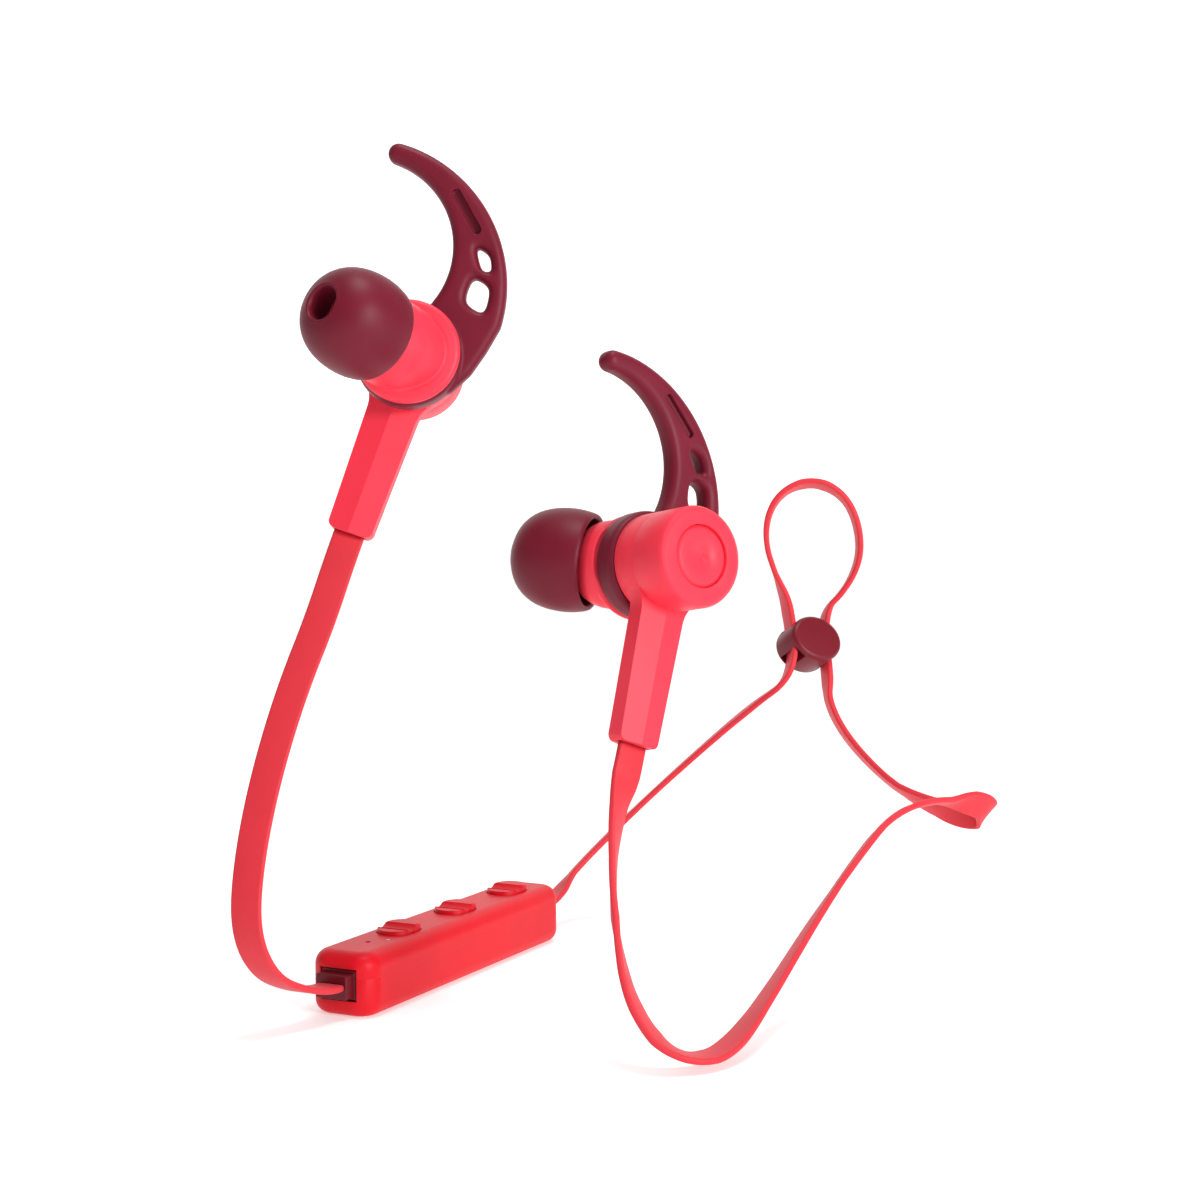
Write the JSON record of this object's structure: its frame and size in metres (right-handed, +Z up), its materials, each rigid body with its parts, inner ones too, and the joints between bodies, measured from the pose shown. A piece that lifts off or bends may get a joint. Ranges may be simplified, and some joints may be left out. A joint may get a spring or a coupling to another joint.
{
  "type": "sport earphones",
  "caption": "In-ear sport earphones joined by a flat springy cable, with hook-shaped ear wings, an in-line remote with raised buttons and a sliding cable bead.",
  "frame": {"origin": "on the plane the remote lies on, under the middle of the box round the earpieces and the remote, the free cable and its slider left out", "axes": "+Z up from the plane the remote lies on, +Y from the front, where the left earpiece stands, towards the slider, +X to the right"},
  "size_m": [0.0962, 0.0855, 0.1064],
  "materials": {
    "housing_red": "soft-touch matt",
    "disc_red": "soft-touch matt",
    "remote_red": "satin",
    "button_red": "satin",
    "tip_silicone": "matt silicone",
    "wing_silicone": "matt silicone",
    "cable_red": "matt",
    "seal_rubber": "matt",
    "grommet_burgundy": "matt",
    "slider_burgundy": "matt",
    "screen_steel": "fine woven",
    "driver_steel": "plain",
    "magnet_nickel": "plated",
    "coil_copper": "enamelled wire",
    "frame_black": "moulded",
    "diaphragm_film": "thin film",
    "foam_black": "foam",
    "board_green": "solder mask",
    "battery_foil": "pouch foil",
    "light_guide": "clear"
  },
  "bodies": {
    "headset": {"left_rear_shell": "housing_red", "left_cap_disc": "disc_red", "left_mid_shell": "housing_red", "left_front_shell": "housing_red", "left_cable_seal": "seal_rubber", "left_nozzle_mesh": "screen_steel", "left_terminal_board": "board_green", "left_driver_yoke": "driver_steel", "left_driver_magnet": "magnet_nickel", "left_driver_top_plate": "driver_steel", "left_voice_coil": "coil_copper", "left_driver_frame": "frame_black", "left_diaphragm": "diaphragm_film", "left_acoustic_gasket": "foam_black", "right_rear_shell": "housing_red", "right_cap_disc": "disc_red", "right_mid_shell": "housing_red", "right_front_shell": "housing_red", "right_cable_seal": "seal_rubber", "right_nozzle_mesh": "screen_steel", "right_terminal_board": "board_green", "right_driver_yoke": "driver_steel", "right_driver_magnet": "magnet_nickel", "right_driver_top_plate": "driver_steel", "right_voice_coil": "coil_copper", "right_driver_frame": "frame_black", "right_diaphragm": "diaphragm_film", "right_acoustic_gasket": "foam_black", "remote_top_shell": "remote_red", "remote_bottom_shell": "remote_red", "button_switches": "driver_steel", "remote_board": "board_green", "battery": "battery_foil", "battery_pad": "foam_black", "radio_module": "frame_black", "microphone": "driver_steel", "microphone_seal": "foam_black", "light_guide": "light_guide", "charging_socket": "driver_steel", "remote_grommet_1": "grommet_burgundy", "remote_grommet_2": "grommet_burgundy", "cable_short": "cable_red", "cable_long": "cable_red"},
    "left_tip": {"left_ear_tip": "tip_silicone"},
    "left_wing": {"left_ear_wing": "wing_silicone"},
    "right_tip": {"right_ear_tip": "tip_silicone"},
    "right_wing": {"right_ear_wing": "wing_silicone"},
    "button_1": {"button_1": "button_red"},
    "button_2": {"button_2": "button_red"},
    "button_3": {"button_3": "button_red"},
    "slider": {"cable_slider": "slider_burgundy"}
  },
  "joints": [
    {"name": "left_tip_pull", "type": "slide", "parent": "headset", "child": "left_tip", "axis": [-0.9486, 0.3048, 0.0856], "range_m": [0, 0.012]},
    {"name": "left_wing_turn", "type": "hinge", "parent": "headset", "child": "left_wing", "pos_m": [0.01513, -0.02039, 0.05567], "axis": [0.6031, -0.7842, 0.146], "range_deg": [-25, 25]},
    {"name": "right_tip_pull", "type": "slide", "parent": "headset", "child": "right_tip", "axis": [-0.5755, -0.7449, 0.3375], "range_m": [0, 0.012]},
    {"name": "right_wing_turn", "type": "hinge", "parent": "headset", "child": "right_wing", "pos_m": [-0.01329, -0.016, 0.08078], "axis": [0.009, 0.9836, -0.1799], "range_deg": [-25, 25]},
    {"name": "button_1_press", "type": "slide", "parent": "headset", "child": "button_1", "axis": [0, 0, -1], "range_m": [0, 0.0003], "stiffness_N_per_m": 3000},
    {"name": "button_2_press", "type": "slide", "parent": "headset", "child": "button_2", "axis": [0, 0, -1], "range_m": [0, 0.0003], "stiffness_N_per_m": 3000},
    {"name": "button_3_press", "type": "slide", "parent": "headset", "child": "button_3", "axis": [0, 0, -1], "range_m": [0, 0.0003], "stiffness_N_per_m": 3000},
    {"name": "slider_slide", "type": "slide", "parent": "headset", "child": "slider", "axis": [-0.0504, 0.4818, 0.8748], "range_m": [-0.001, 0.001]}
  ]
}
